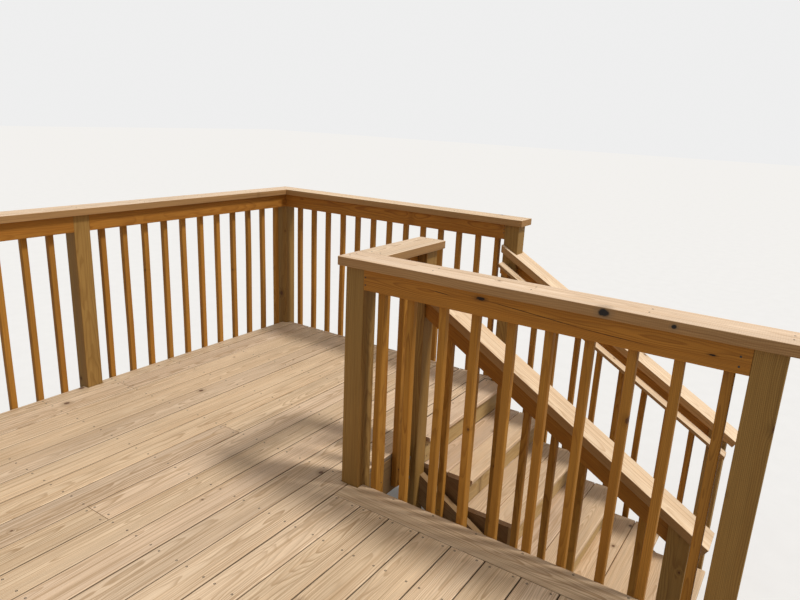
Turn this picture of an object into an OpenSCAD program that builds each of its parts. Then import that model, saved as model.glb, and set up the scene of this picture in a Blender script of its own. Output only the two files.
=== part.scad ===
// Wooden deck stairs: a raised board deck with guard rails and one straight flight of open-sided steps.
// Millimetres, +Z up. The flight descends towards +X. The deck stands above the ground on its posts.
// Drawing frame: x = 0 at the stair head's nosing, y = 0 at the near ends of the treads, z = 0 at the deck's top.

/* [Flight] */
// Height from one tread to the next
rise = 150; // [130:1:190]
// Length of a step from nosing to nosing
run = 254; // [230:1:320]
// Number of treads below the deck
tread_count = 5; // [3:1:8]
// Length of each tread, across the flight
stair_w = 890; // [760:5:1200]
// How far a nosing stands out past the riser under it
nosing = 24; // [15:1:35]
// Gap between the two boards of a tread
tread_gap = 3; // [1:0.5:8]
// Clear space between the ends of the treads and the posts
side_gap = 19; // [5:1:40]

/* [Deck] */
// Number of floor boards between the stair head and the left edge
landing_boards = 13; // [8:1:20]
// Gap between floor boards
deck_gap = 4; // [2:0.5:8]
// Width of the ripped floor board at the left edge
last_board = 88; // [40:1:140]
// Distance from the treads' near ends out to the porch railing's edge
porch_edge = 550; // [500:5:900]
// Distance from the treads' near ends out to the front edge of the deck
front_edge = 1870; // [1500:10:2600]
// Length of the porch side of the deck past the stair head
porch_len = 1408; // [900:1:2400]
// Spacing of the joists
joist_pitch = 406.4; // [300:0.1:610]
// Clear space between the front rim and the first joist
joist_start = 42; // [20:1:300]

/* [Railings] */
// Height of the level caps above the deck
cap_h = 1016; // [900:1:1100]
// Height of the sloping caps above the line of the nosings
stair_cap_h = 800; // [700:1:950]
// Overhang of a cap past the face of a post at its free end
cap_end = 25; // [5:1:60]
// Distance from the stair head to the near lower post
near_foot_x = 1172; // [600:1:2000]
// Distance from the stair head to the far lower post
far_foot_x = 1155; // [600:1:2000]
// How far the near sloping cap runs past its lower post
near_tail = 69; // [10:1:120]
// How far the far sloping cap runs past its lower post
far_tail = 51; // [10:1:120]
// Spacing of the balusters on the left railing
left_pitch = 137.5; // [100:0.5:180]
// Spacing of the balusters on the far railing
far_pitch = 132; // [100:0.5:180]
// Spacing of the balusters on the porch railing
porch_pitch = 141; // [100:0.5:180]
// Spacing of the balusters along the flight
stair_pitch = 135.5; // [100:0.5:180]
// Clear space beside the left railing's middle post, on its far side
left_gap = 81; // [20:1:110]
// Clear space beside the left railing's middle post, on its front side
front_gap = 92; // [20:1:110]
// Clear space between the far railing's last baluster and the stair head's post
far_gap = 48; // [20:1:110]
// Clear space between the inner corner post and the porch railing's first baluster
porch_gap = 43; // [20:1:110]
// Distance from the stair head to the first baluster of the flight
stair_first = 106; // [80:1:160]
// Height of the balusters' feet above the rims' lower edges
foot_rise = 34; // [0:1:100]
// How far the flight's balusters run down over the board they are nailed to
foot_lap = 130; // [60:1:160]
// Y position of the left railing's middle post
left_post_y = -705; // [-900:1:-400]

/* [Handrail] */
// Height of the handrail's top above the line of the nosings
handrail_h = 716; // [600:1:800]
// Width of the handrail
handrail_w = 64; // [38:1:90]
// Clear space between the handrail and the posts
handrail_gap = 31; // [25:1:60]
// X position of the handrail's upper end
handrail_top = -80; // [-100:1:0]
// X position of the handrail's lower end
handrail_end = 1256; // [600:1:2000]

/* [Lumber] */
// Thickness of the two-inch boards
t2 = 38; // [35:1:45]
// Thickness of the floor boards and the treads
t5 = 25; // [22:1:32]
// Thickness of the risers and the handrail
t1 = 19; // [16:1:25]
// Side of a baluster
baluster_w = 32; // [28:1:40]
// Side of a post and depth of a rail
w4 = 89; // [80:1:100]
// Width of caps, floor boards and tread boards
w6 = 140; // [130:1:150]
// Depth of rims and joists
w8 = 184; // [170:1:200]
// Depth of the uncut stringers
w12 = 286; // [260:1:300]

/* [Hidden] */

sun_wood = [0.86, 0.71, 0.50];
rail_wood = [0.66, 0.43, 0.20];
post_wood = [0.62, 0.44, 0.24];
riser_wood = [0.66, 0.54, 0.30];
frame_wood = [0.55, 0.41, 0.25];

deck_h = (tread_count + 1) * rise;
slope = rise / run;
angle = atan(slope);
ground = -deck_h;
clearance = 3;
joint = 2;
through = [-t5 - 1, 1];
notch = t2;
post_out = w4 - notch;
cap_out = (w6 - w4) / 2;
over = 1000;
joint_repeat = 6;

// The grid of the floor boards starts flush with the rim at the stair head
board_pitch = w6 + deck_gap;
border_w = w6;
top_post_x = -102;
stub_x = top_post_x + notch;

// Edges of the floor
left_x = stub_x - (landing_boards - 1) * board_pitch - last_board;
far_y = stair_w + side_gap + notch;
front_y = -front_edge;
porch_y = -porch_edge;
right_x = porch_len;

// Lower corners of the posts, in the order of x then y
left_post_x = left_x - post_out;
front_post_y = front_y - post_out;
far_post_y = stair_w + side_gap;
near_post_y = -side_gap - w4;
inner_post_y = porch_y - notch;
end_post_x = right_x - notch;

rail_z = cap_h - t2;
rail_foot = rail_z - w4;
rim_foot = -t5 - w8;
baluster_foot = rim_foot + foot_rise;

cap_left_x = left_post_x - cap_out;
cap_far_y = far_post_y - cap_out;
cap_stub_x = top_post_x - cap_out;
cap_porch_y = inner_post_y - cap_out;
cap_near_y = near_post_y - cap_out;
near_board_y = near_post_y + post_out;
far_board_y = far_post_y;
guard_drop = 6;
guard_top = -t5 - rise - nosing * slope - guard_drop;
ground_gap = 12;
handrail_y = far_post_y - handrail_gap - handrail_w;

// The joist under the porch boards' ends
end_bearing = 26;
end_joist_y = porch_y - border_w - clearance - end_bearing;

// Blocks under the handrail
block_l = 50;
block_t = 30;
block_inset = 26;
block_lap = 20;

// Extents, which place the origin under the middle of the whole
x_low = cap_left_x;
x_high = end_post_x + w4 + cap_end;
y_low = front_post_y - cap_end;
y_high = cap_far_y + w6;

module place() {
    translate([-(x_low + x_high) / 2, -(y_low + y_high) / 2, deck_h])
        children();
}

// A board between two corners, given as its lower and upper bounds along each axis
module board(x, y, z) {
    translate([x[0], y[0], z[0]])
        cube([x[1] - x[0], y[1] - y[0], z[1] - z[0]]);
}

// A profile drawn in x and z, given its width along y
module profile(y, width) {
    translate([0, y + width, 0])
        rotate([90, 0, 0])
            linear_extrude(height = width)
                children();
}

// Height of a line parallel to the flight, h above the line of the nosings
function line_z(h, x) = h - slope * x;

// A plumb-cut sloping board whose top is h above the line of the nosings
module sloped(x, h, depth) {
    drop = depth / cos(angle);
    polygon([
        [x[0], line_z(h, x[0])],
        [x[1], line_z(h, x[1])],
        [x[1], line_z(h, x[1]) - drop],
        [x[0], line_z(h, x[0]) - drop]
    ]);
}

// A square post with its lower corner at x and y
module post(x, y, z_low, z_high) {
    board([x, x + w4], [y, y + w4], [z_low, z_high]);
}

// Right edge of a landing board, counted from the stair head
function board_x(i) = stub_x - i * board_pitch;

module deck_board(i) {
    board([max(board_x(i) - w6, left_x), board_x(i)], [front_y, far_y], [-t5, 0]);
}

// Butt joints over the second and the fourth joist, in two boards of every six
module butt_joints() {
    for (i = [1:1:landing_boards - 2])
        if (i % joint_repeat > joint_repeat - 3)
            let (x = board_x(i) - w6 - deck_gap / 2, y = joist_y(i % 2 == 0 ? 1 : 3) + t2 / 2)
                board([x, x + board_pitch], [y - joint / 2, y + joint / 2], through);
}

// Room cut round a post
module post_notch(x, y) {
    post_room = [x - clearance, x + w4 + clearance];
    board(post_room, [y - clearance, y + w4 + clearance], through);
}

module deck_boards() {
    color(sun_wood)
        place() {
            difference() {
                for (i = [1:1:landing_boards - 2])
                    deck_board(i);
                butt_joints();
            }
            porch_boards();
        }
}

// The first and the last board of the landing, cut round the posts and the board at the stair head
module edge_boards() {
    color(sun_wood)
        place()
            difference() {
                for (i = [0, landing_boards - 1])
                    deck_board(i);
                board([-w6 - deck_gap, 0], [-side_gap, far_post_y], through);
                post_notch(left_post_x, front_post_y);
                post_notch(left_post_x, left_post_y);
                post_notch(left_post_x, far_post_y);
                post_notch(top_post_x, far_post_y);
                post_notch(top_post_x, near_post_y);
                post_notch(top_post_x, inner_post_y);
            }
}

// Boards right of the stair head, which end at the border board
module porch_boards() {
    first = stub_x + deck_gap;
    boards = ceil((right_x - first) / board_pitch);
    for (j = [0:1:boards - 1])
        let (x = first + j * board_pitch)
            board([x, min(x + w6, right_x)], [front_y, porch_y - border_w - clearance], [-t5, 0]);
}

module border_board() {
    color(sun_wood)
        place()
            difference() {
                board([stub_x + deck_gap, end_post_x - clearance], [porch_y - border_w, porch_y], [-t5, 0]);
                post_notch(top_post_x, inner_post_y);
            }
}

function joist_y(k) = front_y + t2 + joist_start + k * joist_pitch;

module joists() {
    last = floor((far_post_y - t2 - joist_y(0)) / joist_pitch);
    color(frame_wood)
        place() {
            for (k = [0:1:last])
                let (y = joist_y(k), x_end = y + t2 < inner_post_y ? end_post_x : top_post_x)
                    board([left_x + t2, x_end], [y, y + t2], [rim_foot, -t5]);
            board([left_x + t2, end_post_x], [end_joist_y, end_joist_y + t2], [rim_foot, -t5]);
        }
}

module side_rims() {
    color(frame_wood)
        place() {
            board([left_x, left_x + t2], [front_y + t2, left_post_y], [rim_foot, -t5]);
            board([left_x, left_x + t2], [left_post_y + w4, far_post_y], [rim_foot, -t5]);
            board([end_post_x, right_x], [front_y + t2, inner_post_y], [rim_foot, -t5]);
        }
}

module rim_far() {
    color(frame_wood)
        place()
            board([left_x + t2, top_post_x], [far_post_y, far_y], [rim_foot, -t5]);
}

module rim_stair() {
    color(frame_wood)
        place() {
            board([top_post_x, stub_x], [near_post_y + w4, far_post_y], [rim_foot, -t5]);
            board([top_post_x, stub_x], [inner_post_y + w4, near_post_y], [rim_foot, -t5]);
        }
}

module rim_porch() {
    color(frame_wood)
        place()
            board([top_post_x + w4, end_post_x], [inner_post_y, porch_y], [rim_foot, -t5]);
}

module rim_front() {
    color(frame_wood)
        place()
            board([left_x + t2, right_x], [front_y, front_y + t2], [rim_foot, -t5]);
}

module front_left_post() {
    color(post_wood)
        place()
            post(left_post_x, front_post_y, ground, rail_z);
}

module left_post() {
    color(post_wood)
        place()
            post(left_post_x, left_post_y, ground, rail_z);
}

module corner_post() {
    color(post_wood)
        place()
            post(left_post_x, far_post_y, ground, rail_z);
}

module far_top_post() {
    color(post_wood)
        place()
            post(top_post_x, far_post_y, ground, rail_z);
}

module near_top_post() {
    color(post_wood)
        place()
            post(top_post_x, near_post_y, ground, rail_z);
}

module inner_corner_post() {
    color(post_wood)
        place()
            post(top_post_x, inner_post_y, ground, rail_z);
}

module porch_end_post() {
    color(post_wood)
        place()
            post(end_post_x, inner_post_y, ground, rail_z);
}

// A lower post, cut to the slope under the cap
module bottom_post(foot_x, y) {
    under = stair_cap_h - t2 / cos(angle);
    x = [foot_x, foot_x + w4];
    profile(y, w4)
        polygon([
            [x[0], ground],
            [x[1], ground],
            [x[1], line_z(under, x[1])],
            [x[0], line_z(under, x[0])]
        ]);
}

module near_bottom_post() {
    color(post_wood)
        place()
            bottom_post(near_foot_x, near_post_y);
}

module far_bottom_post() {
    color(post_wood)
        place()
            bottom_post(far_foot_x, far_post_y);
}

// Short posts under the rims, out of sight below the floor
module piers() {
    pier_x = [right_x - w4, right_x / 2 - w4, left_x / 2 + w4];
    color(post_wood)
        place() {
            for (x = pier_x)
                post(x, front_y, ground, rim_foot);
            post(pier_x[1], porch_y - w4, ground, rim_foot);
        }
}

module cap_left() {
    color(sun_wood)
        place()
            board([cap_left_x, cap_left_x + w6], [y_low, y_high], [rail_z, cap_h]);
}

module cap_far() {
    color(sun_wood)
        place()
            board([cap_left_x + w6, top_post_x + w4 + cap_end], [cap_far_y, y_high], [rail_z, cap_h]);
}

module cap_stub() {
    color(sun_wood)
        place()
            board([cap_stub_x, cap_stub_x + w6], [cap_porch_y + w6, near_post_y + w4 + cap_end], [rail_z, cap_h]);
}

module cap_porch() {
    color(sun_wood)
        place()
            board([cap_stub_x, x_high], [cap_porch_y, cap_porch_y + w6], [rail_z, cap_h]);
}

// A sloping cap, notched round the upper post and cut square at its lower end
module stair_cap(x_end, y, post_y) {
    lean = t2 * sin(angle);
    difference() {
        profile(y, w6)
            polygon([
                [top_post_x, line_z(stair_cap_h, top_post_x)],
                [x_end, line_z(stair_cap_h, x_end)],
                [x_end - lean, line_z(stair_cap_h, x_end) - t2 * cos(angle)],
                [top_post_x, line_z(stair_cap_h - t2 / cos(angle), top_post_x)]
            ]);
        board([top_post_x - over, top_post_x + w4], [post_y, post_y + w4], [0, cap_h]);
    }
}

module cap_near_stair() {
    color(sun_wood)
        place()
            stair_cap(near_foot_x + w4 + near_tail, cap_near_y, near_post_y);
}

module cap_far_stair() {
    color(sun_wood)
        place()
            stair_cap(far_foot_x + w4 + far_tail, cap_far_y, far_post_y);
}

// The level rails lie flush with the posts' deck side, and the balusters are nailed to their outer side
module rail_left() {
    color(rail_wood)
        place() {
            board([left_x, left_x + t2], [front_post_y + w4, left_post_y], [rail_foot, rail_z]);
            board([left_x, left_x + t2], [left_post_y + w4, far_post_y], [rail_foot, rail_z]);
        }
}

module rail_far() {
    color(rail_wood)
        place()
            board([left_post_x + w4, top_post_x], [far_post_y, far_y], [rail_foot, rail_z]);
}

module rail_stub() {
    color(rail_wood)
        place()
            board([top_post_x, stub_x], [inner_post_y + w4, near_post_y], [rail_foot, rail_z]);
}

module rail_porch() {
    color(rail_wood)
        place()
            board([top_post_x + w4, end_post_x], [inner_post_y, porch_y], [rail_foot, rail_z]);
}

// A sloping rail between the upper and the lower post, under the cap
module stair_rail(x_end, y) {
    profile(y, t2)
        sloped([top_post_x + w4, x_end], stair_cap_h - t2 / cos(angle), w4);
}

module rail_near_stair() {
    color(rail_wood)
        place()
            stair_rail(near_foot_x, near_board_y - t2);
}

module rail_far_stair() {
    color(rail_wood)
        place()
            stair_rail(far_foot_x, far_y);
}

module baluster(x, y) {
    board([x, x + baluster_w], [y, y + baluster_w], [baluster_foot, rail_z]);
}

module balusters_left() {
    first = left_post_y + w4 + left_gap;
    upper = floor((far_post_y - first - baluster_w) / left_pitch);
    before = left_post_y - front_gap - baluster_w;
    lower = floor((before - front_post_y - w4) / left_pitch);
    color(rail_wood)
        place() {
            for (k = [0:1:upper])
                baluster(left_x - baluster_w, first + k * left_pitch);
            for (k = [0:1:lower])
                baluster(left_x - baluster_w, before - k * left_pitch);
        }
}

module balusters_far() {
    first = top_post_x - far_gap - baluster_w;
    last = floor((first - left_post_x - w4) / far_pitch);
    color(rail_wood)
        place()
            for (k = [0:1:last])
                baluster(first - k * far_pitch, far_y);
}

module balusters_stub() {
    length = near_post_y - inner_post_y - w4;
    gap = (length - 2 * baluster_w) / 3;
    color(rail_wood)
        place()
            for (k = [1:1:2])
                baluster(stub_x, inner_post_y + w4 + k * gap + (k - 1) * baluster_w);
}

module balusters_porch() {
    first = top_post_x + w4 + porch_gap;
    last = floor((end_post_x - first - baluster_w) / porch_pitch);
    color(rail_wood)
        place()
            for (k = [0:1:last])
                baluster(first + k * porch_pitch, porch_y);
}

// Balusters of the flight, with slanted tops under the rail
module stair_balusters(x_end, y) {
    under = stair_cap_h - (t2 + w4) / cos(angle);
    last = floor((x_end - stair_first - baluster_w) / stair_pitch);
    for (k = [0:1:last])
        let (x = stair_first + k * stair_pitch, x2 = x + baluster_w)
            let (foot = max(line_z(guard_top - foot_lap, x2), ground + 2 * ground_gap))
                profile(y, baluster_w)
                    polygon([
                        [x, foot],
                        [x2, foot],
                        [x2, line_z(under, x2)],
                        [x, line_z(under, x)]
                    ]);
}

module balusters_near_stair() {
    color(rail_wood)
        place()
            stair_balusters(near_foot_x, near_board_y - baluster_w);
}

module balusters_far_stair() {
    color(rail_wood)
        place()
            stair_balusters(far_foot_x, far_y);
}

// A sloping board that the flight's balusters are nailed to, clear of the ground at its lower end
module guard_board(x_end, y) {
    profile(y, t2)
        intersection() {
            sloped([top_post_x + w4, x_end], guard_top, w6);
            translate([top_post_x, ground + ground_gap])
                square([x_end + over, deck_h]);
        }
}

module guard_boards() {
    color(frame_wood)
        place() {
            guard_board(near_foot_x, near_board_y);
            guard_board(far_foot_x, far_board_y);
        }
}

// A flat board along the flight
module handrail() {
    color(sun_wood)
        place()
            profile(handrail_y, handrail_w)
                sloped([handrail_top, handrail_end], handrail_h, t1);
}

// Blocks under the handrail that hold it off the posts
module handrail_blocks() {
    block_x = [top_post_x + block_inset, far_foot_x + block_inset];
    block_y = handrail_y + block_lap;
    color(rail_wood)
        place()
            for (x = block_x)
                profile(block_y, far_post_y - block_y)
                    sloped([x, x + block_l], handrail_h - t1 / cos(angle), block_t);
}

// A stringer sawn to the steps, from the rim at the stair head down to the ground
module stringer(y) {
    back = stub_x;
    face = -nosing - t1;
    corner = -t5 - slope * nosing - slope * t1;
    drop = w12 / cos(angle);
    steps = [for (k = [0:1:tread_count], low = [0, 1])
        [k * run + face, -(k + low) * rise - (k + low > tread_count ? 0 : t5)]];
    low_x = (deck_h + corner - drop) / slope;
    profile(y, t2)
        polygon(concat(
            [[back, -t5]],
            steps,
            [[low_x, ground], [back, corner - slope * back - drop]]
        ));
}

module stringer_near() {
    color(frame_wood)
        place()
            stringer(0);
}

module stringer_mid() {
    color(frame_wood)
        place()
            stringer((stair_w - t2) / 2);
}

module stringer_far() {
    color(frame_wood)
        place()
            stringer(stair_w - t2);
}

// The boards of the treads, and the nosing board at the stair head
module treads() {
    color(sun_wood)
        place() {
            for (i = [1:1:tread_count], b = [0, 1])
                let (x = i * run - b * (w6 + tread_gap), z = -i * rise)
                    board([x - w6, x], [0, stair_w], [z - t5, z]);
            board([-w6, 0], [0, stair_w], [-t5, 0]);
        }
}

module risers() {
    color(riser_wood)
        place()
            for (k = [0:1:tread_count])
                let (x = k * run - nosing, z = -k * rise)
                    board([x - t1, x], [0, stair_w], [z - rise + clearance, z - t5]);
}

deck_boards();
edge_boards();
border_board();
joists();
side_rims();
rim_far();
rim_stair();
rim_porch();
rim_front();
front_left_post();
left_post();
corner_post();
far_top_post();
near_top_post();
inner_corner_post();
porch_end_post();
near_bottom_post();
far_bottom_post();
piers();
cap_left();
cap_far();
cap_stub();
cap_porch();
cap_near_stair();
cap_far_stair();
rail_left();
rail_far();
rail_stub();
rail_porch();
rail_near_stair();
rail_far_stair();
balusters_left();
balusters_far();
balusters_stub();
balusters_porch();
balusters_near_stair();
balusters_far_stair();
guard_boards();
handrail();
handrail_blocks();
stringer_near();
stringer_mid();
stringer_far();
treads();
risers();
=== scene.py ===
"""Looks of the wooden deck stairs: every board is rebuilt with eased edges, a slight bow and pine grain.

Lengths are in metres, in the frame of the object. Each board is cut from a log of its own: the attribute
"grain" holds the place of every point in that log, along it and across it from the pith. So rings run
through each board as in sawn pine, with arches on its faces and arcs on its ends.
"""

import math
import random

import bmesh
import bpy
from mathutils import Euler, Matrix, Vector


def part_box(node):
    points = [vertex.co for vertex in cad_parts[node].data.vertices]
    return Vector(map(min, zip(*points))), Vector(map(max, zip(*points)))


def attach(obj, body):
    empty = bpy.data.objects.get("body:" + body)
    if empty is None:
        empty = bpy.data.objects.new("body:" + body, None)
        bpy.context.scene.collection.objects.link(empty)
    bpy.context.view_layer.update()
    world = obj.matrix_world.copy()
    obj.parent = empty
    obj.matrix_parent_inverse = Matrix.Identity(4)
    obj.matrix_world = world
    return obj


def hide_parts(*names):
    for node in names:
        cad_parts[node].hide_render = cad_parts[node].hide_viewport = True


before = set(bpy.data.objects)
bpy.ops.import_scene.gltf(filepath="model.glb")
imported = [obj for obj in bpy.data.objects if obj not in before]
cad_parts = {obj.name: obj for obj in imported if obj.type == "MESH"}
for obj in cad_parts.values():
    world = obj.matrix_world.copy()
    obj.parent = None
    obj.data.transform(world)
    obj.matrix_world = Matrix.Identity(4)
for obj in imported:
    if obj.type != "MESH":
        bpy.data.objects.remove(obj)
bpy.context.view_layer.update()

# The camera, solved from the straight edges of the photograph: turned by degrees, its lens in millimetres
CAMERA_PLACE = (1.7201, -2.155, 2.4657)
CAMERA_TURN = (74.225, -2.59, 33.817)
CAMERA_LENS = 29.431
CAMERA_SENSOR = 36.0

# Light: the sun's direction, strength, width in degrees and colour, then the sky and what is seen of it
SUN_FROM = (0.62, 0.22, 1.0)
SUN_POWER = 2.3
SUN_ANGLE = 10
SUN_COLOUR = (1.0, 0.985, 0.96)
SKY = (1.0, 0.975, 0.94)
SKY_POWER = 0.43
BACKDROP = (0.86, 0.86, 0.86)

# The plain floor: how pale it looks, how pale it throws light back, its faint clouds, reach and height
FLOOR_SEEN = 0.86
FLOOR_THROWN = 0.42
FLOOR_CLOUDS = (6.0, 6.0)
FLOOR_TINT = (-0.01, 0.01)
FLOOR_ROUGH = 0.95
FLOOR_REACH = 60.0
FLOOR_Z = -0.001

# The slope of the flight
RISE = 0.150
RUN = 0.254
SLOPE_LENGTH = math.hypot(RISE, RUN)

# Directions of the frame and of the flight
X = Vector((1, 0, 0))
Y = Vector((0, 1, 0))
Z = Vector((0, 0, 1))
DOWN_FLIGHT = Vector((RUN, 0, -RISE)) / SLOPE_LENGTH
OFF_FLIGHT = Vector((RISE, 0, RUN)) / SLOPE_LENGTH

# Directions of each way a board can lie: along the grain, then the two across it
WAYS = {
    "x": (X, Y, Z),
    "y": (Y, X, Z),
    "z": (Z, X, Y),
    "flight": (DOWN_FLIGHT, Y, OFF_FLIGHT),
}

# Each post, and the side that its bolts' heads are on
POSTS = {
    "front_left_post": -X,
    "left_post": -X,
    "corner_post": -X,
    "far_top_post": Y,
    "near_top_post": -Y,
    "inner_corner_post": X,
    "porch_end_post": Y,
    "near_bottom_post": -Y,
    "far_bottom_post": Y,
}
UPRIGHTS = (*POSTS, "piers")

# Each railing: the way that its cap and rail lie, and the side that its balusters stand on
RAILINGS = {
    "left": ("y", -X),
    "far": ("x", Y),
    "stub": ("y", X),
    "porch": ("x", Y),
    "near_stair": ("flight", -Y),
    "far_stair": ("flight", Y),
}
LEVEL_RAILINGS = ("left", "far", "stub", "porch")
STAIR_RAILINGS = ("near_stair", "far_stair")
STRINGERS = ("stringer_near", "stringer_mid", "stringer_far")

# Radii of the edges that run along the grain, and of the sawn ends' edges
EASED = 0.0035
EASED_FLOOR = 0.0055
EASED_BALUSTER = 0.006
EASED_HANDRAIL = 0.004
EASED_BLOCK = 0.002
EASED_RISER = 0.0015
CUT_END = 0.0008

# Steps in a rounded edge, and the profile that makes it round
EASE_STEPS = 3
ROUND = 0.5

# How near two points of a board are taken for one, and the turn in degrees that is taken for flat
SAME_POINT = 1e-5
FLAT_TURN = 1

# The turn in degrees past which a long edge is eased and a sawn end's edge is broken
LONG_EDGE_TURN = 20
END_EDGE_TURN = 60

# Cosines past which an edge runs along the grain, a face is a board's side, and a face is a cap's top
RUNS_ALONG = 0.99
LOOKS_SIDEWAYS = 0.9
LOOKS_UP = 0.5

# How far boards bow in the first direction across the grain, and the share of it in the second
BOW = 0.0008
BOW_BALUSTER = 0.002
BOW_SECOND = 0.5

# Length of board between the loops that let it bow, and how near a point lies to be on such a loop
BAY = 0.22
ON_LOOP = 1e-6

# How much lower a board's top lies than its box, which leaves room for a nail's head
PLANED = 0.0004

# Logs: their length, how deep the pith lies off a board, and how far to its side as a share of the width
LOG_LENGTH = 40.0
PITH_DEPTH = (0.02, 0.11)
PITH_SHIFT = 0.35

# Screws: how far in from a board's sides and ends, how clear of posts, and how many hold the border board
SCREW_IN = 0.025
SCREW_END = 0.016
SCREW_ROOM = 0.012
BORDER_SCREWS = 8

# How far past its end a board is still screwed to what carries it, and the width that has one column
BUTT = 0.02
NARROW = 0.08

# How far screws and nails stray from their places
STRAY = 0.003

# Nails in a riser and in the porch rail, as shares of the board's height
RISER_NAILS = (0.25, 0.75)
PORCH_RAIL_NAILS = (0.25, 0.6)

# Nails in a baluster: up from its foot, and down from its head
BALUSTER_FOOT_NAILS = (0.03, 0.09)
BALUSTER_HEAD_NAILS = (0.03, 0.065)
STAIR_BALUSTER_NAILS = (0.035, 0.085)

# Nails in a cap: how far apart along it, off its middle line, and in from its ends
CAP_NAIL_PITCH = 0.42
CAP_NAIL_OUT = 0.022
CAP_NAIL_END = 0.025

# Nails in the rails: in from their ends, and down from the far rail's top
FAR_RAIL_NAILS_IN = 0.005
FAR_RAIL_NAIL_DROPS = (0.010, 0.031, 0.051)
PORCH_RAIL_NAILS_IN = (0.008, 0.03)

# Bolts: how far below the rims' tops, and how far above the ground at the foot of the flight
BOLT_DROPS = (0.056, 0.163)
LOW_BOLTS = (0.06, 0.11)

# Heads as (radius, height) pairs from the foot; a screw's last rings are its drive's recess
SCREW = ((0.0042, -0.002), (0.0043, 0.0001), (0.0039, 0.0004), (0.0019, 0.0003), (0.0017, -0.0012))
NAIL = ((0.0034, -0.002), (0.0035, 0.0), (0.0028, 0.0004))
SUNK_NAIL = ((0.0032, -0.0035), (0.0033, -PLANED + 0.0001), (0.0026, 0.0))
BOLT = (
    (0.0150, -0.001), (0.0152, 0.0018), (0.0140, 0.0024), (0.0105, 0.0024),
    (0.0100, 0.0042), (0.0078, 0.0062), (0.0042, 0.0074), (0.0012, 0.0077),
)
HEAD_SIDES = 12
BOLT_SIDES = 20

# Steel of the screws, nails and bolts: its colour and roughness
SCREW_STEEL = ((0.10, 0.085, 0.07), 0.5)
NAIL_STEEL = ((0.09, 0.08, 0.07), 0.55)
BOLT_STEEL = ((0.42, 0.41, 0.38), 0.5)


class Lumber:
    """How the boards of one CAD node are made."""

    def __init__(self, slot, way, eased=EASED, bow=BOW):
        self.slot = slot
        self.way = way
        self.eased = eased
        self.bow = bow
        self.sawn = 0.0
        self.look = slot


def make_lumber():
    """The lumber of every CAD node, in the order in which the pieces are made."""
    lumber = {
        "deck_boards": Lumber("deck_wood", "y", EASED_FLOOR),
        "edge_boards": Lumber("deck_wood", "y", EASED_FLOOR),
        "border_board": Lumber("deck_wood", "x", EASED_FLOOR),
        "joists": Lumber("frame_wood", "x"),
        "side_rims": Lumber("frame_wood", "y"),
        "rim_far": Lumber("frame_wood", "x"),
        "rim_stair": Lumber("frame_wood", "y"),
        "rim_porch": Lumber("frame_wood", "x"),
        "rim_front": Lumber("frame_wood", "x"),
    }
    for name in UPRIGHTS:
        lumber[name] = Lumber("post_wood", "z")
    for name, (way, _) in RAILINGS.items():
        lumber["cap_" + name] = Lumber("cap_wood", way)
    for name, (way, _) in RAILINGS.items():
        lumber["rail_" + name] = Lumber("rail_wood", way)
    for name in RAILINGS:
        lumber["balusters_" + name] = Lumber("baluster_wood", "z", EASED_BALUSTER, BOW_BALUSTER)
    lumber["guard_boards"] = Lumber("frame_wood", "flight")
    lumber["handrail"] = Lumber("cap_wood", "flight", EASED_HANDRAIL)
    lumber["handrail_blocks"] = Lumber("rail_wood", "y", EASED_BLOCK)
    for name in STRINGERS:
        lumber[name] = Lumber("frame_wood", "flight")
    lumber["treads"] = Lumber("tread_wood", "y", EASED_FLOOR)
    lumber["risers"] = Lumber("riser_wood", "y", EASED_RISER)

    # Two boards still show the saw, and the porch railing's knots and cracks stand out
    lumber["cap_stub"].sawn = 1.0
    lumber["rail_near_stair"].sawn = 1.0
    lumber["cap_porch"].look = "knotty_cap"
    lumber["rail_porch"].look = "knotty_rail"
    return lumber


# The bounds of most of a noise and its middle, the bounds of a share, and a share that fades away
NOISE = (0.3, 0.7)
NOISE_MIDDLE = 0.5
WHOLE = (0.0, 1.0)
FADING = (1.0, 0.0)

# A tint that leaves a colour as it is
WHITE = (1, 1, 1)

# Places of the colours among a Mix node's inputs, and of the mixed colour among its outputs
MIX_A = 6
MIX_B = 7
MIX_RESULT = 2


class Field:
    """A number, place or colour that a node gives at each point of a surface, with plain arithmetic."""

    def __init__(self, graph, socket):
        self.graph = graph
        self.socket = socket

    def __add__(self, other):
        return self.graph.math("ADD", self, other)

    def __sub__(self, other):
        return self.graph.math("SUBTRACT", self, other)

    def __mul__(self, other):
        return self.graph.math("MULTIPLY", self, other)

    def __truediv__(self, other):
        return self.graph.math("DIVIDE", self, other)

    def span(self, bounds, results=WHOLE):
        """The value carried from its two bounds to two results, and held there outside the bounds."""
        node = self.graph.nodes.new("ShaderNodeMapRange")
        for value, socket in zip((self, *bounds, *results), node.inputs):
            self.graph.put(value, socket)
        return Field(self.graph, node.outputs[0])


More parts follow.
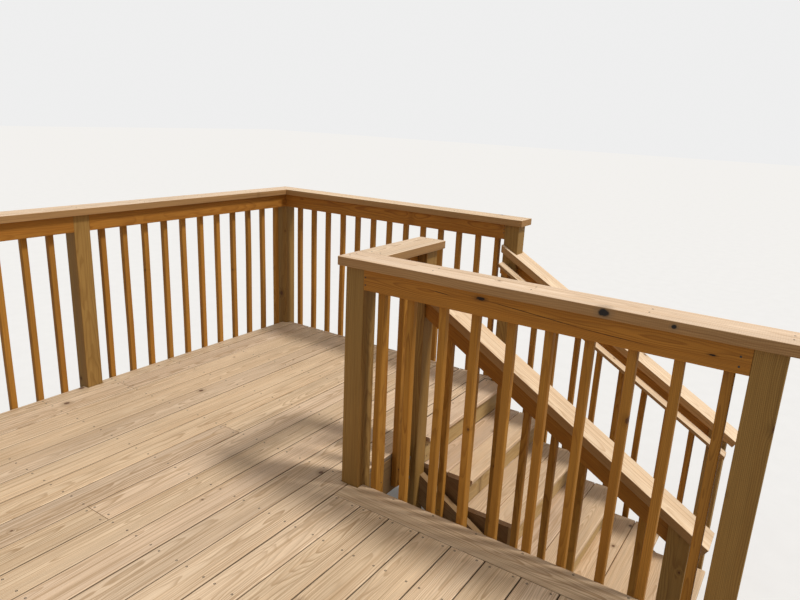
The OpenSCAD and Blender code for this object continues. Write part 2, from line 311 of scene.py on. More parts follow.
class Graph:
    """A material's node tree, with short names for the nodes that the materials use."""

    def __init__(self, name):
        self.material = bpy.data.materials.new(name)
        self.material.use_nodes = True
        self.nodes = self.material.node_tree.nodes
        self.links = self.material.node_tree.links
        self.shader = self.nodes["Principled BSDF"]

    def put(self, value, socket):
        """Links a field to a socket, or sets the socket's own value."""
        if isinstance(value, Field):
            self.links.new(value.socket, socket)
        else:
            socket.default_value = value

    def set_shader(self, name, value):
        self.put(value, self.shader.inputs[name])

    def attribute(self, name, output="Fac"):
        node = self.nodes.new("ShaderNodeAttribute")
        node.attribute_name = name
        return Field(self, node.outputs[output])

    def place(self):
        """The place of each point in the frame of the object."""
        return Field(self, self.nodes.new("ShaderNodeTexCoord").outputs["Object"])

    def math(self, operation, a, b=0.0):
        node = self.nodes.new("ShaderNodeMath")
        node.operation = operation
        for value, socket in zip((a, b), node.inputs):
            self.put(value, socket)
        return Field(self, node.outputs[0])

    def split(self, vector):
        node = self.nodes.new("ShaderNodeSeparateXYZ")
        self.put(vector, node.inputs[0])
        return [Field(self, socket) for socket in node.outputs]

    def vector(self, x, y, z):
        node = self.nodes.new("ShaderNodeCombineXYZ")
        for value, socket in zip((x, y, z), node.inputs):
            self.put(value, socket)
        return Field(self, node.outputs[0])

    def noise(self, place, detail=2.0, roughness=0.5):
        node = self.nodes.new("ShaderNodeTexNoise")
        self.put(place, node.inputs["Vector"])
        node.inputs["Scale"].default_value = 1.0
        node.inputs["Detail"].default_value = detail
        node.inputs["Roughness"].default_value = roughness
        return Field(self, node.outputs["Fac"])

    def pattern(self, place, repeats, detail=2.0, roughness=0.5):
        """Noise that repeats so often in a metre, along the first axis and across it."""
        along, across = repeats
        node = self.nodes.new("ShaderNodeVectorMath")
        node.operation = "MULTIPLY"
        self.put(place, node.inputs[0])
        node.inputs[1].default_value = (along, across, across)
        return self.noise(Field(self, node.outputs[0]), detail, roughness)

    def ramp(self, value, stops):
        """A curve through (value, result) stops, both from 0 to 1."""
        node = self.nodes.new("ShaderNodeValToRGB")
        ramp = node.color_ramp
        while len(ramp.elements) < len(stops):
            ramp.elements.new(0.5)
        for element, (at, level) in zip(ramp.elements, stops):
            element.position = at
            element.color = (level, level, level, 1)
        self.put(value, node.inputs[0])
        return Field(self, node.outputs[0])

    def mix(self, share, a, b, blend="MIX"):
        """Colour a turned into colour b by a share, or another blend of the two."""
        node = self.nodes.new("ShaderNodeMix")
        node.data_type = "RGBA"
        node.blend_type = blend
        self.put(share, node.inputs[0])
        for value, socket in ((a, node.inputs[MIX_A]), (b, node.inputs[MIX_B])):
            self.put(value if isinstance(value, Field) else (*value, 1), socket)
        return Field(self, node.outputs[MIX_RESULT])


# Pine's patterns: how often each repeats in a metre, along the grain and across it
WANDER = (1.6, 5.0)
RIPPLE = (9.0, 30.0)
FIBRE = (7.0, 420.0)
LINE = (1.8, 170.0)
VEIN = (0.7, 85.0)
STREAK = (0.9, 26.0)
CLOUD = (1.4, 7.0)
PATCH = (1.1, 10.0)
PLANER = (1.2, 4.0)
RAGGED = 0.6

# Levels of a pattern's noise at which it starts to show and shows in full
LINE_LEVELS = (0.54, 0.70)
VEIN_LEVELS = (0.56, 0.66)
STREAK_LEVELS = (0.50, 0.76)
PLANER_LEVELS = (0.42, 0.6)

# Year rings: their width, and how far they wander and ripple
RING_WIDTH = 0.0045
WANDER_BY = 0.045
RIPPLE_BY = 0.006

# How often in a metre and by how many rings the rings are uneven
RING_CHANGES = 45.0
RING_CHANGE = 1.4

# How dark the wood is through one year, from pale early wood to dark late wood
YEAR = ((0.0, 0.05), (0.35, 0.08), (0.6, 0.35), (0.84, 1.0), (0.93, 0.95), (1.0, 0.03))

# Hues of boards, from rosy to warm, and the largest share of each colour in the wood
ROSY = (0.95, 0.92, 1.06)
ROSY_HUES = (0.6, 0.0)
ROSY_SHARE = 0.4
WARM_HUES = (0.4, 1.0)
WARM_SHARE = 0.22
STREAK_SHARE = 0.6
PATCH_SHARES = (0.45, 1.0)

# Knots, at most one a cell: the cell's width, its share of the cell's length along the grain, how far
# knots stray in their cells, and their radii
KNOT_CELL = 0.19
KNOT_ALONG = 0.8
KNOT_STRAY = 0.9
KNOT_RADII = (0.004, 0.013)

# Where a knot's core, halo and pull on the rings end, in its radii, and how far it bends the rings
KNOT_EDGE = (0.75, 1.15)
KNOT_HALO = (1.0, 3.0)
KNOT_REACH = (0.0, 4.5)
KNOT_BEND = 0.014

# A knot's own rings, in radians a radius, and the colours of knots and their halos
KNOT_RINGS = 14.0
KNOT_RING_SHARES = (0.75, 1.0)
KNOT_DARK = (0.02, 0.008, 0.003)
KNOT_BROWN = (0.13, 0.05, 0.018)
KNOT_SHARE = 0.92
HALO_SHARE = 0.55
HALO_SHADE = 0.55

# Knots and cracks that stand out on the near faces of the porch railing's cap and rail: how far each lies
# from the board's left end and below its top, its reach along x, y and z, and its lean in z per x
CAP_MARKS = (
    (1.07025, 0.0165, (0.018, 0.024, 0.0145), 0.0),
    (1.28125, 0.0175, (0.008, 0.020, 0.0070), 0.0),
)
RAIL_MARKS = (
    (0.51475, 0.0245, (0.017, 0.020, 0.0065), 0.0),
    (0.70675, 0.0395, (0.150, 0.020, 0.0010), -0.075),
    (0.99175, 0.0575, (0.100, 0.020, 0.0008), -0.042),
    (0.35375, 0.0338, (0.032, 0.020, 0.0011), -0.065),
    (1.27875, 0.0486, (0.010, 0.020, 0.0030), 0.0),
)

# How often in a metre and how far the outlines of those marks wave
MARK_WAVES = (60.0, 60.0)
MARK_WAVE_BY = 0.7

# Where such a mark's dark middle and its rim end, as shares of its reach, and their colours
MARK_EDGE = (0.7, 1.1)
MARK_RIM = (1.0, 2.2)
MARK_RIM_SHARE = 0.55
MARK_RIM_SHADE = 0.45
MARK_DARK = (0.012, 0.008, 0.006)

# Ripples that the planer left: their pitch, and how far clouds in the wood shift them, in radians
MILL_PITCH = 0.0065
MILL_SHIFT = 9.0

# Marks of the saw, in radians a metre: along the grain, across it, and those that cross them
SAW_ALONG = 2500.0
SAW_ACROSS = 700.0
SAW_CROSSING = 2200.0

# How much paler or darker each pattern makes the wood
FIBRE_LIGHT = (-0.13, 0.10)
CLOUD_LIGHT = (-0.09, 0.09)
TONE_LIGHT = (-0.10, 0.08)
MILL_LIGHT = 0.03
# The rounded edges are made paler by this share, a painted highlight
EDGE_HIGHLIGHT = 0.05

# Roughness of the surface by its fibres, and how much smoother late wood is
FIBRE_ROUGH = (0.56, 0.70)
LATE_ROUGH = -0.08

# Relief of each pattern as a share of the whole, and how strong and deep the whole is
LATE_RELIEF = 0.35
FIBRE_RELIEF = 0.5
SAW_RELIEF = 0.4
MILL_RELIEF = 0.15
KNOT_RELIEF = -0.8
RELIEF_STRENGTH = 0.6
RELIEF_DEPTH = 0.0006

# Painted shade: how much darker the floor boards' sides in the gaps, and the caps' browner sides, are
# made than their tops
GAP_SHADE = (0.38, 0.38, 0.38)
CAP_SIDE_SHADE = (0.50, 0.365, 0.20)

# Steel's blotches: how often in a metre, how dark, and how much smoother and rougher they make it
BLOTCHES = (300.0, 300.0)
BLOTCH_SHADE = 0.6
BLOTCH_SMOOTH = 0.1
BLOTCH_ROUGH = 0.12
METALLIC = 0.85


def shade(colour, share):
    """A colour made darker."""
    return [c * share for c in colour]


class Pine(Graph):
    """Sawn pine: pale early wood and dark late wood in rings, with fibres, streaks and knots."""

    def __init__(
        self, name, colours, contrast=0.85, lines=0.3, knotty=0.3, shine=0.35, side=WHITE, marks=(),
    ):
        super().__init__(name)
        self.pale, self.dark, self.warm = colours
        self.grain = self.attribute("grain", "Vector")
        self.tone, self.hue, self.sawn = self.split(self.attribute("board", "Vector"))
        self.along, self.across, self.deep = self.split(self.grain)

        core, halo, bend, radii = self.knots(knotty)
        late = self.late_wood(bend)
        fibre = self.pattern(self.grain, FIBRE)
        cloud = self.pattern(self.grain, CLOUD)
        milled = self.planer_ripples(cloud)

        colour = self.clear_wood(late, contrast, lines)
        colour = self.with_knots(colour, core, halo, radii)
        level = self.level(fibre, cloud, milled)
        colour = self.mix(1.0, colour, self.vector(level, level, level), "MULTIPLY")
        # Painted shade on the faces marked as sides: the floor boards' sides in the gaps and the caps'
        # sides
        colour = self.mix(1.0, colour, self.mix(self.attribute("side"), WHITE, side), "MULTIPLY")
        colour, pit = self.with_marks(colour, marks)
        height = self.relief(late, fibre, milled, self.math("MAXIMUM", core, pit))

        self.set_shader("Base Color", colour)
        self.set_shader("Roughness", fibre.span(NOISE, FIBRE_ROUGH) + late * LATE_ROUGH)
        self.set_shader("Specular IOR Level", shine)
        self.set_shader("Normal", self.bump(height))

    def knots(self, share_of_cells):
        """Dark cores and halos of round knots, how far they bend the rings, and the distance in radii."""
        node = self.nodes.new("ShaderNodeTexVoronoi")
        node.voronoi_dimensions = "2D"
        place = self.vector(self.along * (KNOT_ALONG / KNOT_CELL), self.across * (1 / KNOT_CELL), 0.0)
        self.put(place, node.inputs["Vector"])
        node.inputs["Scale"].default_value = 1.0
        node.inputs["Randomness"].default_value = KNOT_STRAY
        chance, size, _ = self.split(Field(self, node.outputs["Color"]))
        present = self.math("LESS_THAN", chance, share_of_cells)
        radii = Field(self, node.outputs["Distance"]) * KNOT_CELL / size.span(WHOLE, KNOT_RADII)
        core = present * radii.span(KNOT_EDGE, FADING)
        halo = present * radii.span(KNOT_HALO, FADING)
        near = present * radii.span(KNOT_REACH, FADING)
        return core, halo, near * near * KNOT_BEND, radii

    def late_wood(self, knot_bend):
        """How dark late wood is, in rings about the pith that wander, bend round knots and are uneven."""
        wander = (self.pattern(self.grain, WANDER, detail=1.0) - NOISE_MIDDLE) * WANDER_BY
        ripple = (self.pattern(self.grain, RIPPLE, detail=1.0) - NOISE_MIDDLE) * RIPPLE_BY
        radius = self.math("SQRT", self.across * self.across + self.deep * self.deep)
        bent = (radius + wander) + (ripple + knot_bend)
        uneven = self.noise(self.vector(bent * RING_CHANGES, self.tone, self.hue), detail=0.0)
        years = bent / RING_WIDTH + uneven * RING_CHANGE
        return self.ramp(self.math("FRACT", years), YEAR)

    def clear_wood(self, late, contrast, lines):
        """The wood's colour between its knots."""
        patch = self.pattern(self.grain, PATCH, detail=0.0).span(NOISE, PATCH_SHARES)
        streak = self.pattern(self.grain, STREAK, roughness=RAGGED)
        line = self.pattern(self.grain, LINE, roughness=RAGGED).span(LINE_LEVELS)
        vein = self.pattern(self.grain, VEIN, roughness=RAGGED).span(VEIN_LEVELS)
        rosy = [c * share for c, share in zip(self.pale, ROSY)]
        colour = self.mix(self.hue.span(ROSY_HUES, (0.0, ROSY_SHARE)), self.pale, rosy)
        colour = self.mix(late * patch * contrast, colour, self.dark)
        colour = self.mix(streak.span(STREAK_LEVELS, (0.0, STREAK_SHARE)), colour, self.warm)
        colour = self.mix(self.hue.span(WARM_HUES, (0.0, WARM_SHARE)), colour, self.warm)
        return self.mix(self.math("MAXIMUM", line, vein) * lines, colour, self.dark)

    def with_knots(self, colour, core, halo, radii):
        rings = self.math("SINE", radii * KNOT_RINGS).span((-1.0, 1.0), KNOT_RING_SHARES)
        colour = self.mix(halo * HALO_SHARE, colour, shade(self.warm, HALO_SHADE))
        return self.mix(core * KNOT_SHARE, colour, self.mix(rings, KNOT_DARK, KNOT_BROWN))

    def planer_ripples(self, cloud):
        """Ripples that the planer left here and there."""
        ripples = self.math("SINE", self.along * (2 * math.pi / MILL_PITCH) + cloud * MILL_SHIFT)
        return ripples * self.pattern(self.grain, PLANER, detail=0.0).span(PLANER_LEVELS)

    def level(self, fibre, cloud, milled):
        """How pale the wood is at each point, where 1 leaves its colour as it is."""
        light = fibre.span(NOISE, FIBRE_LIGHT) + cloud.span(NOISE, CLOUD_LIGHT) + milled * MILL_LIGHT
        # The rounded edges get a painted highlight
        return light + 1.0 + self.tone.span(WHOLE, TONE_LIGHT) + self.attribute("edge") * EDGE_HIGHLIGHT

    def with_marks(self, colour, marks):
        """The colour with the marks that stand out, and where they are hollow."""
        pit = 0.0
        for middle, reach, lean in marks:
            distance = self.from_mark(middle, reach, lean)
            rim = distance.span(MARK_RIM, (MARK_RIM_SHARE, 0.0))
            inside = distance.span(MARK_EDGE, FADING)
            colour = self.mix(rim, colour, shade(self.dark, MARK_RIM_SHADE))
            colour = self.mix(inside, colour, MARK_DARK)
            pit = self.math("MAXIMUM", pit, inside)
        return colour, pit

    def from_mark(self, middle, reach, lean):
        """The distance from a mark's middle as a share of its reach, a little wavy."""
        place = self.place()
        x, y, z = [value - start for value, start in zip(self.split(place), middle)]
        offsets = (x, y, z - x * lean)
        x_part, y_part, z_part = [value * value * (1 / r ** 2) for value, r in zip(offsets, reach)]
        wavy = (self.pattern(place, MARK_WAVES, detail=1.0) - NOISE_MIDDLE) * MARK_WAVE_BY
        return self.math("SQRT", x_part + (y_part + z_part)) + wavy

    def relief(self, late, fibre, milled, hollow):
        """How high the surface stands at late wood, fibres, the marks of saw and planer, and hollows."""
        kerf = self.math("SINE", self.along * SAW_ALONG + self.across * SAW_ACROSS)
        mesh = kerf * self.math("SINE", self.across * SAW_CROSSING)
        height = late * LATE_RELIEF + fibre * FIBRE_RELIEF
        height = height + mesh * self.sawn * SAW_RELIEF
        return height + milled * MILL_RELIEF + hollow * KNOT_RELIEF

    def bump(self, height):
        node = self.nodes.new("ShaderNodeBump")
        node.inputs["Strength"].default_value = RELIEF_STRENGTH
        node.inputs["Distance"].default_value = RELIEF_DEPTH
        self.put(height, node.inputs["Height"])
        return Field(self, node.outputs[0])


def marks_on(node, marks):
    """Marks with their middles in the frame of the object, on the near face of a node's board."""
    low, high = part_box(node)
    return [((low[0] + along, low[1], high[2] - drop), reach, lean) for along, drop, reach, lean in marks]


def make_woods():
    """One pine for each material slot, and two knotty ones.

    Each has three colours: of pale early wood, of dark late wood, and of warm streaks.
    """
    deck = ((0.79, 0.60, 0.40), (0.42, 0.27, 0.145), (0.61, 0.41, 0.235))
    tread = ((0.72, 0.54, 0.36), (0.44, 0.28, 0.15), (0.59, 0.385, 0.205))
    cap = ((0.88, 0.68, 0.465), (0.52, 0.325, 0.17), (0.72, 0.48, 0.275))
    rail = ((0.465, 0.20, 0.031), (0.25, 0.088, 0.010), (0.365, 0.132, 0.015))
    baluster = ((0.47, 0.22, 0.036), (0.27, 0.105, 0.013), (0.38, 0.15, 0.018))
    post = ((0.37, 0.212, 0.060), (0.20, 0.098, 0.022), (0.29, 0.15, 0.036))
    riser = ((0.52, 0.37, 0.165), (0.35, 0.205, 0.07), (0.44, 0.28, 0.10))
    # The framing's own brown, made darker with painted shade
    shaded_framing = ((0.31, 0.195, 0.088), (0.17, 0.09, 0.033), (0.24, 0.135, 0.055))
    cap_marks = marks_on("cap_porch", CAP_MARKS)
    rail_marks = marks_on("rail_porch", RAIL_MARKS)
    looks = {
        # The floor boards' sides in the gaps and the caps' sides take painted shade
        "deck_wood": dict(colours=deck, contrast=1.0, lines=0.7, knotty=0.15, side=GAP_SHADE),
        "tread_wood": dict(colours=tread, lines=0.45, knotty=0.15),
        "cap_wood": dict(colours=cap, lines=0.5, side=CAP_SIDE_SHADE),
        "knotty_cap": dict(colours=cap, lines=0.5, side=CAP_SIDE_SHADE, marks=cap_marks),
        "rail_wood": dict(colours=rail, shine=0.2),
        "knotty_rail": dict(colours=rail, shine=0.2, marks=rail_marks),
        "baluster_wood": dict(colours=baluster, shine=0.2),
        "post_wood": dict(colours=post, shine=0.2),
        "riser_wood": dict(colours=riser),
        "frame_wood": dict(colours=shaded_framing, shine=0.2),
    }
    return {name: Pine(name, **look).material for name, look in looks.items()}


def metal(name, colour, rough):
    """Dull coated steel, a little blotchy."""
    steel = Graph(name)
    blotch = steel.pattern(steel.place(), BLOTCHES)
    steel.set_shader("Base Color", steel.mix(blotch, shade(colour, BLOTCH_SHADE), colour))
    steel.set_shader("Roughness", blotch.span(NOISE, (rough - BLOTCH_SMOOTH, rough + BLOTCH_ROUGH)))
    steel.set_shader("Metallic", METALLIC)
    return steel.material


def islands(whole):
    """The vertices of each solid of a mesh, as sets, in the order of their first vertices."""
    left = set(whole.verts)
    while left:
        start = min(left, key=lambda vert: vert.index)
        island, front = {start}, [start]
        while front:
            vert = front.pop()
            for edge in vert.link_edges:
                other = edge.other_vert(vert)
                if other not in island:
                    island.add(other)
                    front.append(other)
        left -= island
        yield island


def solids_of(cad_object):
    """The separate boards of a CAD node, each as a bmesh with plain faces."""
    whole = bmesh.new()
    whole.from_mesh(cad_object.data)
    bmesh.ops.remove_doubles(whole, verts=whole.verts, dist=SAME_POINT)
    flat = math.radians(FLAT_TURN)
    bmesh.ops.dissolve_limit(whole, angle_limit=flat, verts=whole.verts, edges=whole.edges)
    found = []
    for island in islands(whole):
        solid = bmesh.new()
        copies = {v: solid.verts.new(v.co) for v in sorted(island, key=lambda vert: vert.index)}
        faces = {face for vert in island for face in vert.link_faces}
        for face in sorted(faces, key=lambda f: f.index):
            solid.faces.new([copies[v] for v in face.verts])
        solid.normal_update()
        found.append(solid)
    whole.free()
    return found


def extent(points, direction):
    """The lowest and highest of some points along a direction."""
    places = [point.dot(direction) for point in points]
    return min(places), max(places)


def turns(edge, degrees):
    """Whether a solid's surface turns outward by more than so many degrees at an edge."""
    return edge.is_convex and edge.calc_face_angle(0) > math.radians(degrees)


def runs_along(edge, direction):
    start, end = [vert.co for vert in edge.verts]
    return abs((end - start).normalized().dot(direction)) > RUNS_ALONG


def ease(solid, way, lumber):
    """Rounds the edges that run along the grain, then breaks the sawn ends' edges."""
    along, across, _ = way
    edge_highlight_layer = solid.faces.layers.float.new("edge")
    side_shade_layer = solid.faces.layers.float.new("side")
    long_edges = [edge for edge in solid.edges if runs_along(edge, along) and turns(edge, LONG_EDGE_TURN)]
    rounded = bmesh.ops.bevel(
        solid, geom=long_edges, offset=lumber.eased, segments=EASE_STEPS,
        profile=ROUND, affect="EDGES", clamp_overlap=True,
    )
    # The rounded faces are marked for a painted highlight
    for face in rounded["faces"]:
        face[edge_highlight_layer] = 1.0
    ends = [edge for edge in solid.edges if turns(edge, END_EDGE_TURN)]
    bmesh.ops.bevel(solid, geom=ends, offset=CUT_END, segments=1, affect="EDGES", clamp_overlap=True)
    solid.normal_update()
    # The floor boards' sides in the gaps and the caps' sides are marked for painted shade
    for face in solid.faces:
        gap_in_shade = lumber.slot == "deck_wood" and abs(face.normal.dot(across)) > LOOKS_SIDEWAYS
        cap_side_in_shade = lumber.slot == "cap_wood" and face.normal.z < LOOKS_UP
        # A cap's faces below its top get painted shade
        if gap_in_shade or cap_side_in_shade:
            face[side_shade_layer] = 1.0


def cut_across(solid, along, low, high):
    """Adds loops along a board, so that it can bow."""
    bays = max(1, round((high - low) / BAY))
    for k in range(1, bays):
        at = along * (low + (high - low) * k / bays)
        geometry = solid.verts[:] + solid.edges[:] + solid.faces[:]
        bmesh.ops.bisect_plane(solid, geom=geometry, plane_co=at, plane_no=along, dist=ON_LOOP)


def place_in_log(solid, way, lumber, rng):
    """Writes where each point lies in the board's own log, and the board's tone, then bows the board."""
    _, first, second = way
    points = [vert.co.copy() for vert in solid.verts]
    spans = [extent(points, direction) for direction in way]
    middle = Vector([(low + high) / 2 for low, high in spans])
    first_end, last_end = spans[0]
    wide, thin = [high - low for low, high in spans[1:]]
    depth = rng.uniform(*PITH_DEPTH) * rng.choice((-1, 1))
    shift = rng.uniform(-PITH_SHIFT, PITH_SHIFT)
    pith = (shift * wide, depth) if wide >= thin else (depth, shift * thin)
    start = rng.uniform(0, LOG_LENGTH)
    flip = rng.choice((-1, 1))
    tones = Vector((rng.random(), rng.random(), lumber.sawn))
    grain = solid.verts.layers.float_vector.new("grain")
    board = solid.verts.layers.float_vector.new("board")
    bow = [rng.uniform(-lumber.bow, lumber.bow) for _ in range(4)]
    for vert in solid.verts:
        length, breadth, height = [vert.co.dot(d) - centre for d, centre in zip(way, middle)]
        vert[grain] = Vector((start + flip * length, breadth - pith[0], height - pith[1]))
        vert[board] = tones
        share = (length + middle.x - first_end) / (last_end - first_end)
        hump = math.sin(math.pi * share)
        wave = math.sin(2 * math.pi * share)
        bent = vert.co + first * (bow[0] * hump + bow[1] * wave)
        vert.co = bent + second * (bow[2] * hump + bow[3] * wave) * BOW_SECOND


def keep_in_box(solid, low, high):
    """Planes off what a bow carries past the node's own box. Tops lie lower by a nail head's rise."""
    top = (high[0], high[1], high[2] - PLANED)
    for vert in solid.verts:
        for axis in range(3):
            vert.co[axis] = min(max(vert.co[axis], low[axis]), top[axis])


def timber(node, lumber, wood):
    """The visible piece that stands for one CAD node."""
    rng = random.Random(node)
    way = WAYS[lumber.way]
    joined = bmesh.new()
    mesh = bpy.data.meshes.new("timber_" + node)
    for solid in solids_of(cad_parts[node]):
        low, high = extent([vert.co for vert in solid.verts], way[0])
        ease(solid, way, lumber)
        cut_across(solid, way[0], low, high)
        place_in_log(solid, way, lumber, rng)
        keep_in_box(solid, *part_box(node))
        part = bpy.data.meshes.new("part")
        solid.to_mesh(part)
        solid.free()
        joined.from_mesh(part)
        bpy.data.meshes.remove(part)
    for face in joined.faces:
        face.smooth = True
    joined.to_mesh(mesh)
    joined.free()
    mesh.materials.append(wood)
    piece = bpy.data.objects.new("timber_" + node, mesh)
    bpy.context.scene.collection.objects.link(piece)
    normals = piece.modifiers.new("flat_faces", "WEIGHTED_NORMAL")
    normals.keep_sharp = True
    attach(piece, "root")
    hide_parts(node)
    return piece


class Hardware:
    """Screw, nail and bolt heads that make up one piece: closed, turned shapes, each seated on a face."""

    def __init__(self):
        self.mesh = bmesh.new()

    def turn(self, place, outward, profile, sides=HEAD_SIDES):
        """A head turned about the line through place along outward."""
        first = outward.orthogonal().normalized()
        second = outward.cross(first)
        rings = []
        for radius, height in profile:
            ring = []
            for k in range(sides):
                angle = 2 * math.pi * k / sides
                spoke = first * math.cos(angle) + second * math.sin(angle)
                ring.append(self.mesh.verts.new(place + outward * height + spoke * radius))
            rings.append(ring)
        for low, high in zip(rings, rings[1:]):
            for k in range(sides):
                self.mesh.faces.new([low[k - 1], low[k], high[k], high[k - 1]])
        self.mesh.faces.new(rings[0][::-1])
        self.mesh.faces.new(rings[-1])

    def piece(self, name, material):
        """The heads as one object, with smooth sides and flat ends."""
        mesh = bpy.data.meshes.new(name)
        self.mesh.to_mesh(mesh)
        self.mesh.free()
        mesh.materials.append(material)
        for polygon in mesh.polygons:
            polygon.use_smooth = len(polygon.vertices) == 4
        piece = bpy.data.objects.new(name, mesh)
        bpy.context.scene.collection.objects.link(piece)
        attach(piece, "root")
        return piece


def board_boxes(node):
    """The box of each board of a node, as its lowest and highest corners."""
    boxes = []
    for solid in solids_of(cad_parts[node]):
        spans = [extent([vert.co for vert in solid.verts], axis) for axis in (X, Y, Z)]
        boxes.append((Vector([low for low, _ in spans]), Vector([high for _, high in spans])))
        solid.free()
    return boxes


def middle_lines(*nodes):
    """The y of the middle of each board of some nodes."""
    return [(low.y + high.y) / 2 for node in nodes for low, high in board_boxes(node)]


def face_middle(low, high, outward):
    """The middle of a box's face on one side."""
    return (low + high) / 2 + outward * abs((high - low).dot(outward)) / 2


def stray(rng):
    return rng.uniform(-STRAY, STRAY)


def near_any(x, y, boxes):
    """Whether a place in plan lies in one of some boxes, or close beside it."""
    for low, high in boxes:
        beside_x = low.x - SCREW_ROOM < x < high.x + SCREW_ROOM
        beside_y = low.y - SCREW_ROOM < y < high.y + SCREW_ROOM
        if beside_x and beside_y:
            return True
    return False


def floor_screws():
    """Two screws, or one in a narrow board, wherever a floor board crosses a joist or rim.

    They are moved in from the board's ends, and left out at posts, at piers and at the stair head's
    nosing board. The border board has a row of its own.
    """
    rng = random.Random("floor_screws")
    screws = Hardware()
    border_low, border_high = board_boxes("border_board")[0]
    joists = middle_lines("joists")
    carriers = joists + middle_lines("rim_front", "rim_far")
    end_joist = min(joists, key=lambda y: abs(y - border_low.y))
    taken = [box for name in UPRIGHTS for box in board_boxes(name)]
    taken.append(max(board_boxes("treads"), key=lambda box: box[1].z))

    def drive(x, y, top):
        if not near_any(x, y, taken):
            screws.turn(Vector((x, y, top - PLANED)), Z, SCREW)

    for low, high in board_boxes("deck_boards") + board_boxes("edge_boards"):
        narrow = high.x - low.x < NARROW
        columns = ((low.x + high.x) / 2,) if narrow else (low.x + SCREW_IN, high.x - SCREW_IN)
        for carrier in carriers:
            passes_by = carrier == end_joist and high.y > end_joist + BUTT
            if low.y - BUTT < carrier < high.y + BUTT and not passes_by:
                y = min(max(carrier, low.y + SCREW_END), high.y - SCREW_END)
                for x in columns:
                    drive(x + stray(rng), y + stray(rng), high.z)
    row_start = border_low.x + SCREW_IN
    row_length = border_high.x - border_low.x - 2 * SCREW_IN
    for k in range(BORDER_SCREWS):
        drive(row_start + row_length * k / (BORDER_SCREWS - 1), border_high.y - SCREW_END, border_high.z)
    return screws


def tread_screws():
    """Two screws wherever a tread board crosses a stringer."""
    rng = random.Random("tread_screws")
    screws = Hardware()
    lines = middle_lines(*STRINGERS)
    for low, high in board_boxes("treads"):
        for y in lines:
            for x in (low.x + SCREW_IN, high.x - SCREW_IN):
                screws.turn(Vector((x + stray(rng), y + stray(rng), high.z - PLANED)), Z, SCREW)
    return screws


def riser_nails(heads, rng):
    lines = middle_lines(*STRINGERS)
    for low, high in board_boxes("risers"):
        for y in lines:
            for share in RISER_NAILS:
                z = low.z + (high.z - low.z) * share
                heads.turn(Vector((high.x, y + stray(rng), z)), X, NAIL)


def baluster_nails(heads, rng):
    """Nails at the feet and heads of balusters, and on the flight at their feet only."""
    for name in LEVEL_RAILINGS:
        outward = RAILINGS[name][1]
        for low, high in board_boxes("balusters_" + name):
            face = face_middle(low, high, outward)
            feet = [low.z + rise for rise in BALUSTER_FOOT_NAILS]
            tops = [high.z - drop for drop in BALUSTER_HEAD_NAILS]
            for z in feet + tops:
                x = face.x + stray(rng) * abs(outward.y)
                y = face.y + stray(rng) * abs(outward.x)
                heads.turn(Vector((x, y, z)), outward, NAIL)
    for name in STAIR_RAILINGS:
        outward = RAILINGS[name][1]
        for low, high in board_boxes("balusters_" + name):
            face = face_middle(low, high, outward)
            for rise in STAIR_BALUSTER_NAILS:
                heads.turn(Vector((face.x, face.y, low.z + rise)), outward, NAIL)


def cap_nails(heads):
    """Pairs of nails along the level caps, sunk into their tops."""
    for name in LEVEL_RAILINGS:
        low, high = board_boxes("cap_" + name)[0]
        along, across, _ = WAYS[RAILINGS[name][0]]
        length = (high - low).dot(along)
        pairs = round(length / CAP_NAIL_PITCH)
        for k in range(pairs + 1):
            reach = (length - 2 * CAP_NAIL_END) * (k / pairs - 0.5)
            for out in (-CAP_NAIL_OUT, CAP_NAIL_OUT):
                spot = (low + high) / 2 + along * reach + across * out
                heads.turn(Vector((spot.x, spot.y, high.z)), Z, SUNK_NAIL)


def rail_nails(heads):
    """Nails in the near faces of the far rail, at its right end, and of the porch rail, at both ends."""
    low, high = board_boxes("rail_far")[0]
    for drop in FAR_RAIL_NAIL_DROPS:
        heads.turn(Vector((high.x - FAR_RAIL_NAILS_IN, low.y, high.z - drop)), -Y, NAIL)
    low, high = board_boxes("rail_porch")[0]
    left_in, right_in = PORCH_RAIL_NAILS_IN
    for x in (low.x + left_in, high.x - right_in):
        for share in PORCH_RAIL_NAILS:
            heads.turn(Vector((x, low.y, low.z + (high.z - low.z) * share)), -Y, NAIL)


def nails():
    rng = random.Random("nails")
    heads = Hardware()
    riser_nails(heads, rng)
    baluster_nails(heads, rng)
    cap_nails(heads)
    rail_nails(heads)
    return heads


def post_bolts():
    """The heads of two bolts through each post into the rim or the sloping board behind it."""
    bolts = Hardware()
    rim_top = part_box("rim_far")[1][2]
    high_bolts = [rim_top - drop for drop in BOLT_DROPS]
    for node, outward in POSTS.items():
        face = face_middle(*board_boxes(node)[0], outward)
        for z in LOW_BOLTS if "bottom" in node else high_bolts:
            bolts.turn(Vector((face.x, face.y, z)), outward, BOLT, BOLT_SIDES)
    return bolts


def add_camera():
    data = bpy.data.cameras.new("camera")
    data.sensor_width = CAMERA_SENSOR
    data.sensor_fit = "HORIZONTAL"
    data.lens = CAMERA_LENS
    camera = bpy.data.objects.new("camera", data)
    camera.location = CAMERA_PLACE
    camera.rotation_euler = Euler([math.radians(turn) for turn in CAMERA_TURN])
    bpy.context.scene.collection.objects.link(camera)
    bpy.context.scene.camera = camera


def add_sun():
    data = bpy.data.lights.new("sun", "SUN")
    data.energy = SUN_POWER
    data.angle = math.radians(SUN_ANGLE)
    data.color = SUN_COLOUR
    light = bpy.data.objects.new("sun", data)
    light.rotation_euler = Vector(SUN_FROM).to_track_quat("Z", "Y").to_euler()
    bpy.context.scene.collection.objects.link(light)


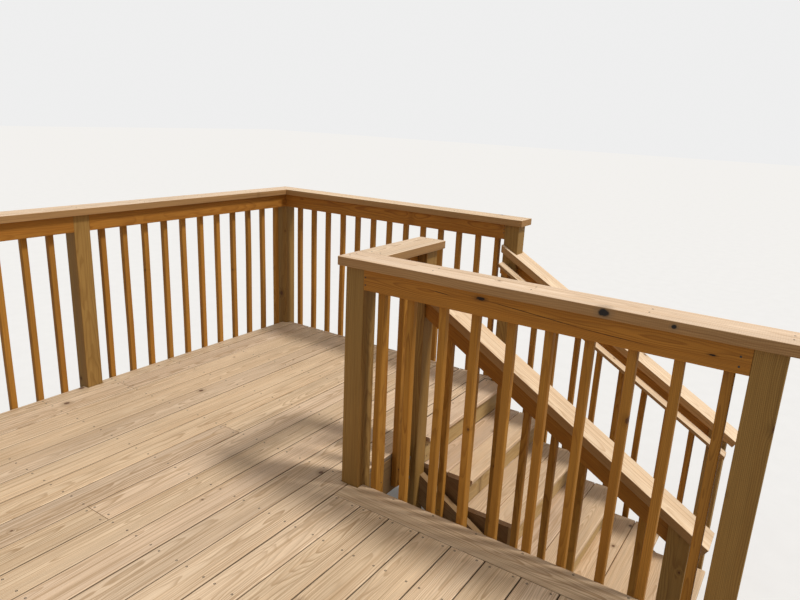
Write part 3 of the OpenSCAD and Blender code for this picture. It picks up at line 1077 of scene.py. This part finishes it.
def floor_look():
    """A plain pale tone. It throws back less light than it shows, or it would wash the rails out."""
    plain = Graph("floor")
    tint = plain.pattern(plain.place(), FLOOR_CLOUDS, detail=3.0).span(NOISE, FLOOR_TINT)
    seen = Field(plain, plain.nodes.new("ShaderNodeLightPath").outputs["Is Camera Ray"])
    level = seen.span(WHOLE, (FLOOR_THROWN, FLOOR_SEEN)) + tint
    plain.set_shader("Base Color", plain.vector(level, level, level))
    plain.set_shader("Roughness", FLOOR_ROUGH)
    plain.set_shader("Specular IOR Level", 0.0)
    return plain.material


def add_floor():
    mesh = bpy.data.meshes.new("floor")
    reach = FLOOR_REACH
    corners = [(-reach, -reach, 0), (reach, -reach, 0), (reach, reach, 0), (-reach, reach, 0)]
    mesh.from_pydata(corners, [], [(0, 1, 2, 3)])
    mesh.materials.append(floor_look())
    floor = bpy.data.objects.new("floor", mesh)
    floor.location.z = FLOOR_Z
    bpy.context.scene.collection.objects.link(floor)


def add_world():
    """Soft light from all round, and the floor's own pale tone wherever the camera sees past it."""
    world = bpy.data.worlds.new("world")
    bpy.context.scene.world = world
    world.use_nodes = True
    nodes = world.node_tree.nodes
    links = world.node_tree.links
    background = nodes["Background"]
    background.inputs["Color"].default_value = (*SKY, 1)
    background.inputs["Strength"].default_value = SKY_POWER
    seen = nodes.new("ShaderNodeBackground")
    seen.inputs["Color"].default_value = (*BACKDROP, 1)
    path = nodes.new("ShaderNodeLightPath")
    either = nodes.new("ShaderNodeMath")
    either.operation = "MAXIMUM"
    links.new(path.outputs["Is Camera Ray"], either.inputs[0])
    links.new(path.outputs["Is Glossy Ray"], either.inputs[1])
    mix = nodes.new("ShaderNodeMixShader")
    links.new(either.outputs[0], mix.inputs[0])
    links.new(background.outputs[0], mix.inputs[1])
    links.new(seen.outputs[0], mix.inputs[2])
    links.new(mix.outputs[0], nodes["World Output"].inputs[0])


add_camera()
woods = make_woods()
for node_name, kind in make_lumber().items():
    timber(node_name, kind, woods[kind.look])

screw_steel = metal("screw_steel", *SCREW_STEEL)
nail_steel = metal("nail_steel", *NAIL_STEEL)
bolt_steel = metal("bolt_steel", *BOLT_STEEL)
floor_screws().piece("floor_screws", screw_steel)
tread_screws().piece("tread_screws", screw_steel)
nails().piece("nails", nail_steel)
post_bolts().piece("post_bolts", bolt_steel)

add_floor()
add_world()
add_sun()
bpy.context.scene.view_settings.view_transform = "Standard"
